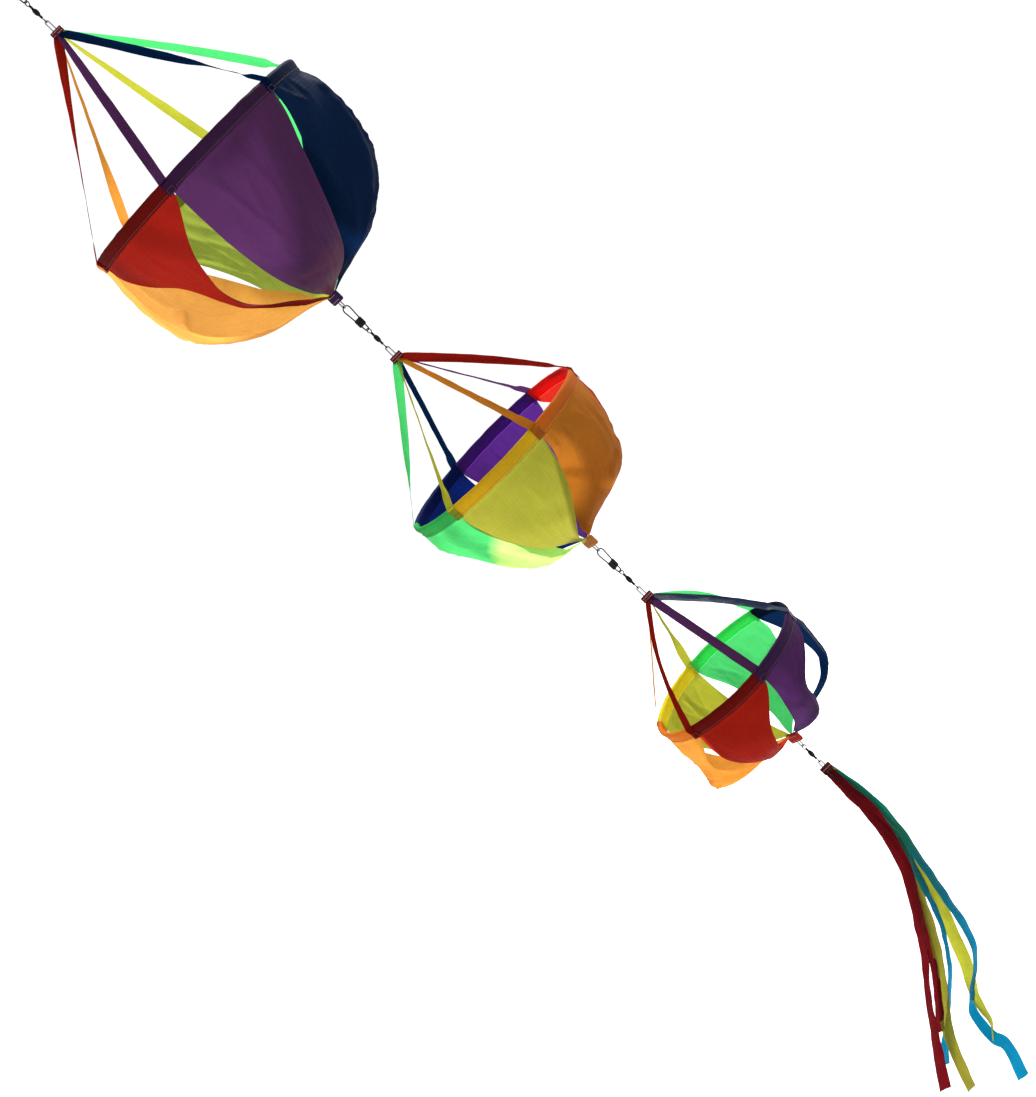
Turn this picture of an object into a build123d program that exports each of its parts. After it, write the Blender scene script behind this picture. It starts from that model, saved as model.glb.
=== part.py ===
from build123d import *
import math
import os

# Three-basket rainbow windsock that hangs below a kite line, in millimetres.
# +Z is up, the chain hangs down -Z, and the origin is the hang point: the inside of
# the top snap's wide bend. Angles are about +Z, counted from +X.

COLOURS = ("red", "orange", "yellow", "green", "navy", "purple")

# Baskets, top to bottom
HOOP_R = (137.5, 112.5, 92.5)
HOOP_Z = (-252.0, -661.0, -1001.0)
BOWL_DEPTH = (182.0, 135.0, 105.0)
RED_SEAM_ANGLE = (-165.0, -10.0, -138.0)
GORE_ARC = 58.0
GORE_STEP = 60.0
SEAM_GAP = (GORE_STEP - GORE_ARC) / 2
# Waist of a gore's free edge: share of the hoop radius, lean in degrees, share of the depth
FREE_EDGE_WAIST = (0.9, 14.0, 0.6)

# Cloth, hoop rod and hem
CLOTH_T = 0.7
HEM_T = 1.3
HEM_W = 11.0
ROD_R = 1.5
SLEEVE_IN_R = 2.2
SLEEVE_OUT_R = 2.9
FERRULE_R = 2.15
FERRULE_BORE_R = 1.52
FERRULE_LENGTH = 30.0
ROD_END_GAP = 1.0

# Gathered tips, where six pieces meet inside a tab
TIP_IN_R = 0.3
TIP_OUT_R = 1.9
TIP_BORE_R = 2.25
TIP_LENGTH = 8.0
ROOT_LENGTH = 4.0

# Bridle straps
STRAP_W = 10.0
STRAP_T = 0.5
STRAP_WEDGE = 28.0
STRAP_LAP = 13.0

# Folded tabs: width, height, thickness
FRONT_TAB = (13.5, 7.0, 5.4)
REAR_TAB = (16.0, 12.0, 5.4)
TAIL_TAB = (13.0, 9.0, 5.4)

# Cord loops
CORD_R = 0.8
CORD_BEND_R = 1.9
CORD_IN_TAB = 2.5
FRONT_LOOP_SHOW = 9.0
REAR_LOOP_SHOW = 7.0
TAIL_LOOP_SHOW = 5.0
FRONT_LOOP_ANGLE = 0.0
REAR_LOOP_ANGLE = -50.0

# Snap: a closed wire with a wide and a narrow bend, held shut by a clip
SNAP_WIRE_R = 0.7
SNAP_LENGTH = 35.0
SNAP_WIDE_R = 5.05
SNAP_NARROW_R = 2.55
SNAP_ANGLE = 40.0
CLIP = (9.6, 9.5, 2.5)
CLIP_Z = -22.0
CLIP_SLOT = (5.0, 1.3)

# Barrel swivel
EYE_WIRE_R = 0.55
EYE_RING_R = 2.8
EYE_CENTRE = 11.25
LOWER_EYE_ANGLE = 90.0
BARREL_HALF = 4.0
BARREL_END_R = 1.7
BARREL_MID_R = 2.6
BARREL_WALL = 0.6
BARREL_CAVITY_R = 1.3
BARREL_HOLE_R = 0.62
SHANK_HEAD_R = 1.0
SHANK_HEAD_T = 0.6
NECK_TURNS = 4
NECK_TURN_R = 0.8
NECK_PITCH = 0.96

# Running clearance wherever one link hangs inside another
LINK_GAP = 0.3

# Tail ribbons, two of each colour: layer towards the front, centre line down from the tab
RIBBON_T = 0.4
RIBBON_LAYER = 0.55
RIBBON_TOP_HALF_W = 4.5
RIBBON_HALF_W = 7.5
RIBBONS = {
    "red": (
        (2.5, ((0, -8), (-2, -70), (-14, -130), (-67, -226), (-130, -304), (-164, -350))),
        (-0.5, ((0, -8), (4, -70), (-8, -130), (-52, -222), (-92, -276), (-108, -300))),
    ),
    "yellow": (
        (1.5, ((0, -8), (3, -80), (-24, -190), (-70, -270), (-120, -340), (-139, -380))),
        (-1.5, ((0, -8), (7, -80), (-8, -180), (-42, -260), (-66, -320), (-82, -360))),
    ),
    "blue": (
        (0.5, ((0, -8), (5, -80), (-18, -180), (-60, -250), (-104, -300), (-140, -345))),
        (-2.5, ((0, -8), (10, -80), (0, -170), (-28, -250), (-66, -310), (-93, -415))),
    ),
}


def turned(z, angle):
    """Place an upright piece at height z, turned about the chain."""
    return Location((0, 0, z), (0, 0, angle))


def hanging(z, angle):
    """The same, upside down."""
    return Location((0, 0, z), (180, 0, -angle))


def cord_u(length):
    """Cord loop: bend on top with its centre line at z = 0, legs straight down."""
    with BuildPart() as cord:
        with BuildLine(Plane.XZ) as path:
            right = Line((CORD_BEND_R, -length), (CORD_BEND_R, -CORD_BEND_R))
            ThreePointArc(right @ 1, (0, 0), (-CORD_BEND_R, -CORD_BEND_R))
            Line((-CORD_BEND_R, -CORD_BEND_R), (-CORD_BEND_R, -length))
        with BuildSketch(Plane(origin=path.line @ 0, z_dir=path.line % 0)):
            Circle(CORD_R)
        sweep()
    return cord.part


def folded_tab(size, loop, bore_depth):
    """Folded webbing tab: rounded top with two cord holes, bore below for the tips."""
    width, height, thick = size
    with BuildPart() as tab:
        with BuildSketch(Plane.XZ.offset(-thick / 2)):
            with Locations((0, -height / 2)):
                Rectangle(width, height)
        extrude(amount=thick)
        fillet(tab.edges().group_by(Axis.Z)[-1].filter_by(Axis.X), radius=2.0)
        fillet(tab.edges().filter_by(Axis.Y), radius=0.8)
        with Locations((0, 0, -height)):
            Cylinder(
                TIP_BORE_R,
                bore_depth,
                align=(Align.CENTER, Align.CENTER, Align.MIN),
                mode=Mode.SUBTRACT,
            )
        add(loop, mode=Mode.SUBTRACT)
    return tab.part


def snap_path():
    """Centre line of the snap wire, from the clip round both bends and back."""
    wide_z = SNAP_WIRE_R - SNAP_WIDE_R
    narrow_z = SNAP_BOTTOM_Z + SNAP_NARROW_R
    lean = math.asin((SNAP_WIDE_R - SNAP_NARROW_R) / (wide_z - narrow_z))
    wide_x = SNAP_WIDE_R * math.cos(lean)
    narrow_x = SNAP_NARROW_R * math.cos(lean)
    wide_tangent = wide_z - SNAP_WIDE_R * math.sin(lean)
    narrow_tangent = narrow_z - SNAP_NARROW_R * math.sin(lean)

    def leg_x(z):
        share = (z - narrow_tangent) / (wide_tangent - narrow_tangent)
        return narrow_x + share * (wide_x - narrow_x)

    with BuildLine(Plane.XZ) as path:
        Line((leg_x(CLIP_Z - 1), CLIP_Z - 1), (narrow_x, narrow_tangent))
        ThreePointArc((narrow_x, narrow_tangent), (0, SNAP_BOTTOM_Z), (-narrow_x, narrow_tangent))
        Line((-narrow_x, narrow_tangent), (-wide_x, wide_tangent))
        ThreePointArc((-wide_x, wide_tangent), (0, SNAP_WIRE_R), (wide_x, wide_tangent))
        Line((wide_x, wide_tangent), (leg_x(CLIP_Z + 1), CLIP_Z + 1))
    return path.line


def wire_along(path, radius):
    """Round wire of the given radius along a path."""
    with BuildPart() as wire:
        with BuildSketch(Plane(origin=path @ 0, z_dir=path % 0)):
            Circle(radius)
        sweep(path=path)
    return wire.part


def swivel_eye():
    """Upper eye of a swivel whose barrel is centred on z = 0: head, shank, wrapped neck, ring."""
    head_top = BARREL_HALF - BARREL_WALL - 0.05
    with BuildPart() as eye:
        with Locations((0, 0, head_top)):
            Cylinder(SHANK_HEAD_R, SHANK_HEAD_T, align=(Align.CENTER, Align.CENTER, Align.MAX))
        with Locations((0, 0, head_top - SHANK_HEAD_T)):
            Cylinder(
                EYE_WIRE_R,
                EYE_CENTRE - EYE_RING_R - head_top + SHANK_HEAD_T,
                align=(Align.CENTER, Align.CENTER, Align.MIN),
            )
        for turn in range(NECK_TURNS):
            with Locations((0, 0, BARREL_HALF + 0.15 + EYE_WIRE_R + turn * NECK_PITCH)):
                Torus(NECK_TURN_R, EYE_WIRE_R)
        with Locations(Location((0, 0, EYE_CENTRE), (90, 0, 0))):
            Torus(EYE_RING_R, EYE_WIRE_R)
    return eye.part


def swivel_barrel():
    """Hollow bead with a hole in each end."""
    inner = BARREL_HALF - BARREL_WALL
    with BuildPart() as barrel:
        with BuildSketch(Plane.XZ):
            with BuildLine():
                Line((BARREL_HOLE_R, BARREL_HALF), (BARREL_END_R, BARREL_HALF))
                ThreePointArc(
                    (BARREL_END_R, BARREL_HALF),
                    (BARREL_MID_R, 0),
                    (BARREL_END_R, -BARREL_HALF),
                )
                Polyline(
                    (BARREL_END_R, -BARREL_HALF),
                    (BARREL_HOLE_R, -BARREL_HALF),
                    (BARREL_HOLE_R, -inner),
                    (BARREL_CAVITY_R, -inner),
                    (BARREL_CAVITY_R, inner),
                    (BARREL_HOLE_R, inner),
                    (BARREL_HOLE_R, BARREL_HALF),
                )
            make_face()
        revolve(axis=Axis.Z)
    return barrel.part


def gore(radius, depth):
    """One sixth of a basket: rod sleeve, hem and cloth, one edge taut and one edge free."""
    with BuildPart() as cloth:
        with BuildSketch(Plane.XZ):
            with BuildLine():
                Spline(
                    (radius, -SLEEVE_IN_R - 0.3),
                    (radius, -0.27 * depth),
                    (0.96 * radius, -0.5 * depth),
                    (0.81 * radius, -0.73 * depth),
                    (0.5 * radius, -0.905 * depth),
                    (1.5, -depth),
                    tangents=((0, -1), (-1, -0.8)),
                )
            trace(line_width=CLOTH_T)
            with Locations((radius, -SLEEVE_IN_R - HEM_W / 2)):
                Rectangle(HEM_T, HEM_W)
            with Locations((radius, 0)):
                Circle(SLEEVE_OUT_R)
            with Locations((radius, 0)):
                Circle(SLEEVE_IN_R, mode=Mode.SUBTRACT)
        revolve(axis=Axis.Z, revolution_arc=GORE_ARC)
        # The free edge leans in from the hoop, through its waist, and runs down to the tip
        share, lean, drop = FREE_EDGE_WAIST
        hoop_end = Vector(radius, 0, 0).rotate(Axis.Z, GORE_ARC)
        waist = Vector(share * radius, 0, -drop * depth).rotate(Axis.Z, GORE_ARC - lean)
        apex = Vector(0, 0, -depth)
        free_edge = (apex - hoop_end).cross(waist - hoop_end)
        split(bisect_by=Plane(origin=hoop_end, z_dir=free_edge), keep=Keep.TOP)
        with BuildSketch(Plane.XZ):
            with Locations(((TIP_IN_R + TIP_OUT_R) / 2, -depth - TIP_LENGTH / 2 + 0.5)):
                Rectangle(TIP_OUT_R - TIP_IN_R, TIP_LENGTH)
        revolve(axis=Axis.Z, revolution_arc=GORE_ARC)
    return cloth.part


def bridle_strap(radius, height):
    """One strap from inside the front tab, over the hoop and down the outside of the hem."""
    wrap_r = SLEEVE_OUT_R + STRAP_T / 2 + 0.05
    root_r = (TIP_IN_R + TIP_OUT_R) / 2
    straight = math.degrees(math.atan2(-height, radius - root_r))
    lift = math.degrees(math.asin(wrap_r / math.hypot(radius - root_r, height)))
    touch = straight + lift + 90
    with BuildPart() as strap:
        with BuildSketch(Plane.XZ):
            with BuildLine():
                wrap = CenterArc((radius, 0), wrap_r, touch, -45 - touch)
                Line((root_r, height), wrap @ 0)
                lap = Line(wrap @ 1, (radius + HEM_T / 2 + 0.35, -6))
                Line(lap @ 1, (radius + HEM_T / 2 + 0.35, -STRAP_LAP))
            trace(line_width=STRAP_T)
            with Locations((root_r, height + ROOT_LENGTH / 2 - 0.5)):
                Rectangle(TIP_OUT_R - TIP_IN_R, ROOT_LENGTH)
        extrude(amount=STRAP_W / 2, both=True)
        with BuildSketch(Plane.XY.offset(-STRAP_LAP - 5)):
            Polygon(
                (0, 0),
                (STRAP_W / 2 / math.tan(math.radians(STRAP_WEDGE)), STRAP_W / 2),
                (radius + 20, STRAP_W / 2),
                (radius + 20, -STRAP_W / 2),
                (STRAP_W / 2 / math.tan(math.radians(STRAP_WEDGE)), -STRAP_W / 2),
                align=None,
            )
        extrude(amount=height + STRAP_LAP + 20, mode=Mode.INTERSECT)
    return strap.part


def ribbon(layer, points, top_z):
    """One flat tail ribbon, narrow where it is sewn in and square at its end."""
    spine = Spline(*points)
    left = []
    right = []
    for step in range(13):
        share = step / 12
        half = RIBBON_TOP_HALF_W + (RIBBON_HALF_W - RIBBON_TOP_HALF_W) * min(1, 3 * share)
        across = (spine % share).rotate(Axis.Z, 90) * half
        left.append(spine @ share + across)
        right.append(spine @ share - across)
    with BuildPart() as strip:
        with BuildSketch(Plane.XZ.offset(layer * RIBBON_LAYER - RIBBON_T / 2)):
            with BuildLine():
                Spline(*left)
                Line(left[-1], right[-1])
                Spline(*reversed(right))
                Line(right[0], left[0])
            make_face()
        extrude(amount=RIBBON_T)
    return strip.part.moved(Location((0, 0, top_z)))


# Heights along one link: snap, swivel, cord loop, front tab
SNAP_BOTTOM_Z = 3 * SNAP_WIRE_R - SNAP_LENGTH
SWIVEL_DROP = SNAP_WIRE_R + EYE_WIRE_R + LINK_GAP - EYE_CENTRE - EYE_RING_R
LOOP_RISE = EYE_WIRE_R + CORD_R + LINK_GAP


def export(piece, name):
    piece.label = name
    export_step(piece, f"parts/{name}.step")


def export_swivel(number, centre_z, upper_angle):
    """Upper eye, barrel and lower eye of one swivel."""
    with BuildPart() as upper:
        with Locations(turned(centre_z, upper_angle)):
            add(swivel_eye())
    with BuildPart() as barrel:
        with Locations(turned(centre_z, 0)):
            add(swivel_barrel())
    with BuildPart() as lower:
        with Locations(hanging(centre_z, LOWER_EYE_ANGLE)):
            add(swivel_eye())
    export(upper.part, f"swivel_upper_eye_{number}")
    export(barrel.part, f"swivel_barrel_{number}")
    export(lower.part, f"swivel_lower_eye_{number}")


os.makedirs("parts", exist_ok=True)

snap_wire = wire_along(snap_path(), SNAP_WIRE_R)
snap_channel = wire_along(snap_path(), SNAP_WIRE_R + 0.02)
with BuildPart() as snap_clip:
    with BuildSketch(Plane.XZ.offset(-CLIP[2] / 2)):
        with Locations((0, CLIP_Z)):
            RectangleRounded(CLIP[0], CLIP[1], 1.6)
        with Locations((0, CLIP_Z)):
            SlotOverall(CLIP_SLOT[0], CLIP_SLOT[1], rotation=90, mode=Mode.SUBTRACT)
    extrude(amount=CLIP[2])
    fillet(snap_clip.faces().sort_by(Axis.Y)[0].outer_wire().edges(), radius=0.35)
    fillet(snap_clip.faces().sort_by(Axis.Y)[-1].outer_wire().edges(), radius=0.35)
    add(snap_channel, mode=Mode.SUBTRACT)

link_z = 0.0
for k in range(3):
    number = k + 1
    radius = HOOP_R[k]
    depth = BOWL_DEPTH[k]

    # Link above the basket
    with BuildPart() as placed_snap:
        with Locations(turned(link_z, SNAP_ANGLE)):
            add(snap_wire)
    with BuildPart() as placed_clip:
        with Locations(turned(link_z, SNAP_ANGLE)):
            add(snap_clip.part)
    swivel_z = link_z + SNAP_BOTTOM_Z + SWIVEL_DROP
    eye_bottom_z = swivel_z - EYE_CENTRE - EYE_RING_R
    export(placed_snap.part, f"snap_wire_{number}")
    export(placed_clip.part, f"snap_clip_{number}")
    export_swivel(number, swivel_z, SNAP_ANGLE - 90)

    # Cord loops and the two tabs
    front_tab_z = eye_bottom_z - EYE_WIRE_R - FRONT_LOOP_SHOW
    front_cord_z = eye_bottom_z + LOOP_RISE
    rear_tab_z = HOOP_Z[k] - depth - 0.3
    rear_cord_z = rear_tab_z - REAR_TAB[1] - REAR_LOOP_SHOW - CORD_R
    with BuildPart() as loops:
        with Locations(turned(front_cord_z, FRONT_LOOP_ANGLE)):
            add(cord_u(front_cord_z - front_tab_z + CORD_IN_TAB))
        with Locations(hanging(rear_cord_z, REAR_LOOP_ANGLE)):
            add(cord_u(REAR_LOOP_SHOW + CORD_R + CORD_IN_TAB))
    with BuildPart() as front_tab:
        with Locations(turned(front_tab_z, FRONT_LOOP_ANGLE)):
            add(
                folded_tab(
                    FRONT_TAB,
                    cord_u(front_cord_z - front_tab_z + CORD_IN_TAB).moved(
                        Location((0, 0, front_cord_z - front_tab_z))
                    ),
                    ROOT_LENGTH,
                )
            )
    with BuildPart() as rear_tab:
        with Locations(hanging(rear_tab_z - REAR_TAB[1], REAR_LOOP_ANGLE)):
            add(
                folded_tab(
                    REAR_TAB,
                    cord_u(REAR_LOOP_SHOW + CORD_R + CORD_IN_TAB).moved(
                        Location((0, 0, REAR_LOOP_SHOW + CORD_R))
                    ),
                    TIP_LENGTH,
                )
            )
    export(loops.part, f"cord_loops_{number}")
    export(front_tab.part, f"front_tab_{number}")
    export(rear_tab.part, f"rear_tab_{number}")

    # Hoop rod, closed by a tube ferrule
    ferrule_arc = math.degrees(FERRULE_LENGTH / radius)
    rod_gap_arc = math.degrees(ROD_END_GAP / radius)
    with BuildPart() as hoop:
        with BuildSketch(Plane.XZ):
            with Locations((radius, 0)):
                Circle(ROD_R)
        revolve(axis=Axis.Z, revolution_arc=360 - rod_gap_arc)
    with BuildPart() as ferrule:
        with BuildSketch(Plane.XZ):
            with Locations((radius, 0)):
                Circle(FERRULE_R)
                Circle(FERRULE_BORE_R, mode=Mode.SUBTRACT)
        revolve(axis=Axis.Z, revolution_arc=ferrule_arc)
    seam = RED_SEAM_ANGLE[k]
    with BuildPart() as placed_hoop:
        with Locations(turned(HOOP_Z[k], seam + GORE_STEP / 2)):
            add(hoop.part)
    with BuildPart() as placed_ferrule:
        with Locations(turned(HOOP_Z[k], seam + GORE_STEP / 2 - (ferrule_arc + rod_gap_arc) / 2)):
            add(ferrule.part)
    export(placed_hoop.part, f"hoop_{number}")
    export(placed_ferrule.part, f"hoop_ferrule_{number}")

    # Six straps, one to each seam
    one_strap = bridle_strap(radius, front_tab_z - FRONT_TAB[1] - HOOP_Z[k])
    with BuildPart() as straps:
        with Locations(turned(HOOP_Z[k], seam)):
            with PolarLocations(0, 6):
                add(one_strap)
    export(straps.part, f"bridle_straps_{number}")

    # Six gores, each from its own seam to the one before
    one_gore = gore(radius, depth)
    for i, colour in enumerate(COLOURS):
        with BuildPart() as panel:
            with Locations(turned(HOOP_Z[k], seam - i * GORE_STEP + SEAM_GAP)):
                add(one_gore)
        export(panel.part, f"panel_{colour}_{number}")

    link_z = rear_cord_z + CORD_R + LINK_GAP

# Tail on its own swivel
tail_swivel_z = link_z + EYE_WIRE_R - EYE_CENTRE - EYE_RING_R
tail_eye_z = tail_swivel_z - EYE_CENTRE - EYE_RING_R
tail_tab_z = tail_eye_z - EYE_WIRE_R - TAIL_LOOP_SHOW
tail_cord_z = tail_eye_z + LOOP_RISE
tail_loop = cord_u(tail_cord_z - tail_tab_z + CORD_IN_TAB)
export_swivel(4, tail_swivel_z, REAR_LOOP_ANGLE + 90)
with BuildPart() as tail_cord_loop:
    with Locations(turned(tail_cord_z, FRONT_LOOP_ANGLE)):
        add(tail_loop)
with BuildPart() as tail_tab:
    with Locations(turned(tail_tab_z, FRONT_LOOP_ANGLE)):
        add(folded_tab(TAIL_TAB, tail_loop.moved(Location((0, 0, tail_cord_z - tail_tab_z))), 0.01))
    for strands in RIBBONS.values():
        for layer, points in strands:
            add(ribbon(layer, points, tail_tab_z), mode=Mode.SUBTRACT)
export(tail_cord_loop.part, "tail_cord_loop")
export(tail_tab.part, "tail_tab")
for colour, strands in RIBBONS.items():
    with BuildPart() as tail_ribbons:
        for layer, points in strands:
            add(ribbon(layer, points, tail_tab_z))
    export(tail_ribbons.part, f"tail_ribbons_{colour}")
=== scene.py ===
import math

import bpy
from mathutils import Matrix, Vector, noise


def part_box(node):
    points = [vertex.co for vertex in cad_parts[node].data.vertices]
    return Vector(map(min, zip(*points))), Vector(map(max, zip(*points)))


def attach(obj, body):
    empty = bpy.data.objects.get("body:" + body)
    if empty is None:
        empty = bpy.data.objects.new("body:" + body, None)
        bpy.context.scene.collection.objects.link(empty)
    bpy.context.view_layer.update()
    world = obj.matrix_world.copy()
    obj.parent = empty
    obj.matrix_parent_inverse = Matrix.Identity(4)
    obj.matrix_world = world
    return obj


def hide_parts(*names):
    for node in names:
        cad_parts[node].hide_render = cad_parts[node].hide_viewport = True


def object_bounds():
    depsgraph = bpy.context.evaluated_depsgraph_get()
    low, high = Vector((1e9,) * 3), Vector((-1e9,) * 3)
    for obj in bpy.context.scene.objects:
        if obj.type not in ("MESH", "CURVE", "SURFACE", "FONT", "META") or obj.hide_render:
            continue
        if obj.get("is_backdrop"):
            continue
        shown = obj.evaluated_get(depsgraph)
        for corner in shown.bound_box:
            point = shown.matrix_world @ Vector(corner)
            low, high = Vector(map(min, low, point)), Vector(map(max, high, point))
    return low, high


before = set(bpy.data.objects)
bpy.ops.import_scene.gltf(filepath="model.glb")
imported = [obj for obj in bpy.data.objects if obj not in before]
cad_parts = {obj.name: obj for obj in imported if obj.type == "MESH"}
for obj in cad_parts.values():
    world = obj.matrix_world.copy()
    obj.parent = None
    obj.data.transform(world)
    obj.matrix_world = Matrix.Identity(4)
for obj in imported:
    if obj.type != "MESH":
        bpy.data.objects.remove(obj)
cad_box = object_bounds()

COLOURS = ("red", "orange", "yellow", "green", "navy", "purple")
HOOP_R = (0.1375, 0.1125, 0.0925)
HOOP_Z = (-0.252, -0.661, -1.001)
BOWL_DEPTH = (0.182, 0.135, 0.105)
RED_SEAM = (-165.0, -10.0, -138.0)
GORE_STEP = 60
# Share of cloth that a gore's folds take up across its blank
FOLD_ALLOWANCE = 1.03
HEM_W = 0.011
# Seam along a hem: degrees that it covers on each gore, stitch length and height below the hoop
SEAM_ARC = 58
SEAM_PITCH = 0.0031
SEAM_DROP = 0.0093
# Sewn box on a strap's lap: half width, edges below the hoop and stitch length
LAP_HALF_W = 0.0036
LAP_LOW = 0.0115
LAP_HIGH = 0.0062
LAP_PITCH = 0.0018
# A strap's radius round the rod, and how much of its end lies on the hem
STRAP_WRAP_R = 0.0032
STRAP_SEWN = 0.030
STRAP_W = 0.010
RIBBON_W = 0.015
CORD_R = 0.0008
CORD_BEND_R = 0.0019
# How far the cord's legs reach into a tab
CORD_IN_TAB = 0.002
LOOP_ANGLE = {"front": 0.0, "rear": -50.0}


def smooth(t):
    t = min(1.0, max(0.0, t))
    return t * t * (3 - 2 * t)


def mix(a, b, t):
    return a + (b - a) * t


def wander(x, y, z=0.0):
    """Smooth noise from -1 to 1."""
    return noise.noise(Vector((x, y, z)))


def catmull(points, per_span):
    """Smooth line through the points."""
    ends = [points[0] * 2 - points[1]] + list(points) + [points[-1] * 2 - points[-2]]
    line = []
    for i in range(1, len(ends) - 2):
        p0, p1, p2, p3 = ends[i - 1 : i + 3]
        for j in range(per_span):
            t = j / per_span
            line.append(
                0.5
                * (
                    2 * p1
                    + (p2 - p0) * t
                    + (2 * p0 - 5 * p1 + 4 * p2 - p3) * t * t
                    + (3 * p1 - p0 - 3 * p2 + p3) * t * t * t
                )
            )
    line.append(ends[-2].copy())
    return line


class Path:
    """A line that can be read by its share of the whole length."""

    def __init__(self, points, per_span):
        self.points = catmull([Vector(p) for p in points], per_span)
        self.at = [0.0]
        for a, b in zip(self.points, self.points[1:]):
            self.at.append(self.at[-1] + (b - a).length)
        self.length = self.at[-1]

    def __call__(self, share):
        want = min(1.0, max(0.0, share)) * self.length
        low, high = 0, len(self.at) - 1
        while high - low > 1:
            middle = (low + high) // 2
            if self.at[middle] <= want:
                low = middle
            else:
                high = middle
        span = self.at[high] - self.at[low]
        part = (want - self.at[low]) / span if span else 0.0
        return self.points[low].lerp(self.points[high], part)

    def direction(self, share):
        return (self(share + 0.004) - self(share - 0.004)).normalized()


def smooth_object(name, verts, faces, material):
    mesh = bpy.data.meshes.new(name)
    mesh.from_pydata(verts, [], faces)
    mesh.polygons.foreach_set("use_smooth", [True] * len(mesh.polygons))
    mesh.materials.append(material)
    obj = bpy.data.objects.new(name, mesh)
    bpy.context.collection.objects.link(obj)
    return obj


def surface(name, rows, uvs, material, closed_u=False):
    """Mesh from rows of points, with a UV in metres."""
    count = len(rows[0])
    verts = [tuple(p) for row in rows for p in row]
    faces = []
    span = count if closed_u else count - 1
    for i in range(len(rows) - 1):
        for j in range(span):
            k = (j + 1) % count
            faces.append((i * count + j, i * count + k, (i + 1) * count + k, (i + 1) * count + j))
    obj = smooth_object(name, verts, faces, material)
    layer = obj.data.uv_layers.new(name="cloth")
    flat = [uv for row in uvs for uv in row]
    for loop in obj.data.loops:
        layer.data[loop.index].uv = flat[loop.vertex_index]
    return obj


def capsules(name, sticks, radius, material):
    """Short round threads between pairs of points, in one mesh."""
    # Share of the way along, overhang past the end and swelling of each ring, both in thread radii
    rings = ((0, -0.8, 0.45), (0.08, 0, 1.0), (0.5, 0, 1.1), (0.92, 0, 1.0), (1, 0.8, 0.45))
    sides = 6
    verts, faces = [], []
    for a, b in sticks:
        along = (b - a).normalized()
        side = along.orthogonal().normalized()
        other = along.cross(side)
        base = len(verts)
        for share, overhang, swell in rings:
            middle = a.lerp(b, share) + along * radius * overhang
            for j in range(sides):
                turn = math.tau * j / sides
                out = side * math.cos(turn) + other * math.sin(turn)
                verts.append(tuple(middle + out * radius * swell))
        for i in range(len(rings) - 1):
            low, high = base + i * sides, base + (i + 1) * sides
            for j in range(sides):
                k = (j + 1) % sides
                faces.append((low + j, low + k, high + k, high + j))
        faces.append(tuple(base + j for j in reversed(range(sides))))
        faces.append(tuple(high + j for j in range(sides)))
    return smooth_object(name, verts, faces, material)


# Materials


RIP_LINE_W = 0.00045
THREAD_PITCH = 0.0007


class Nodes:
    """Shorthand for building a node tree."""

    def __init__(self, name):
        self.material = bpy.data.materials.new(name)
        self.material.use_nodes = True
        self.tree = self.material.node_tree
        self.tree.nodes.clear()

    def add(self, kind, **settings):
        node = self.tree.nodes.new(kind)
        for key, value in settings.items():
            setattr(node, key, value)
        return node

    def link(self, a, b):
        self.tree.links.new(a, b)

    def maths(self, operation, a, b=None, c=None):
        node = self.add("ShaderNodeMath", operation=operation)
        for i, value in enumerate((a, b, c)):
            if value is None:
                continue
            if isinstance(value, (int, float)):
                node.inputs[i].default_value = value
            else:
                self.link(value, node.inputs[i])
        return node.outputs[0]

    def blend(self, factor, a, b, mode="MIX"):
        node = self.add("ShaderNodeMix", data_type="RGBA", blend_type=mode)
        for socket, value in ((node.inputs[0], factor), (node.inputs[6], a), (node.inputs[7], b)):
            if isinstance(value, (int, float)):
                socket.default_value = value
            elif isinstance(value, tuple):
                socket.default_value = (*value, 1.0)
            else:
                self.link(value, socket)
        return node.outputs[2]

    def cells(self, value, pitch, width):
        """1 on thin lines every pitch, 0 between them."""
        share = self.maths("FRACT", self.maths("DIVIDE", value, pitch))
        off = self.maths("ABSOLUTE", self.maths("SUBTRACT", share, 0.5))
        near = self.maths("SUBTRACT", off, 0.5 - width / pitch)
        return self.maths("SMOOTH_MAX", self.maths("MULTIPLY", near, pitch / width), 0.0, 0.05)


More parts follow.
